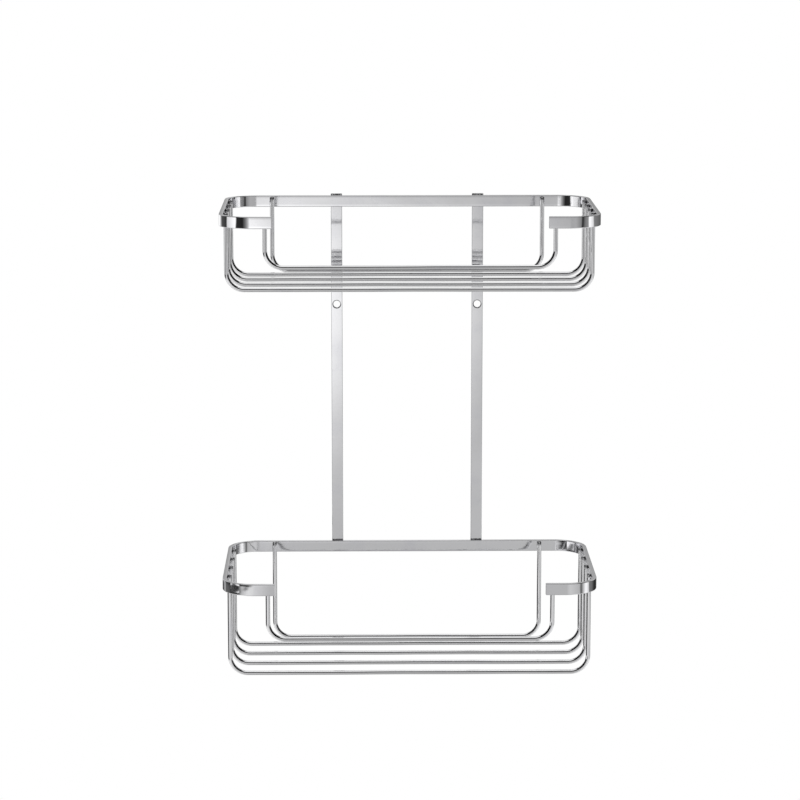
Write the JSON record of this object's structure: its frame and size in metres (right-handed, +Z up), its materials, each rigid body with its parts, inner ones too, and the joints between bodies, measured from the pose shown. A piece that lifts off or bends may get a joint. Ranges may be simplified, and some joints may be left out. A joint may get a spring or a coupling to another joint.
{
  "type": "shower caddy",
  "caption": "Wall-fixed shower caddy with open-front wire baskets one above the other, welded flat-bar rims, and upright flat straps that carry the screw holes.",
  "frame": {"origin": "midway between the middles of the two screw holes, on the wall plane, which is the straps' back faces", "axes": "+X to the right seen from the front, +Y into the wall, +Z up"},
  "size_m": [0.256, 0.1375, 0.3235],
  "materials": {
    "bar": "polished chrome plate on flat steel bar, light swirl marks",
    "wire": "polished chrome plate on drawn round steel wire"
  },
  "bodies": {
    "root": {"upper_rim": "bar", "lower_rim": "bar", "left_strap": "bar", "right_strap": "bar", "upper_rear_wire": "wire", "upper_base_wire_1": "wire", "upper_base_wire_2": "wire", "upper_base_wire_3": "wire", "upper_base_wire_4": "wire", "upper_front_rail": "wire", "lower_rear_wire": "wire", "lower_base_wire_1": "wire", "lower_base_wire_2": "wire", "lower_base_wire_3": "wire", "lower_base_wire_4": "wire", "lower_front_rail": "wire"}
  },
  "joints": []
}
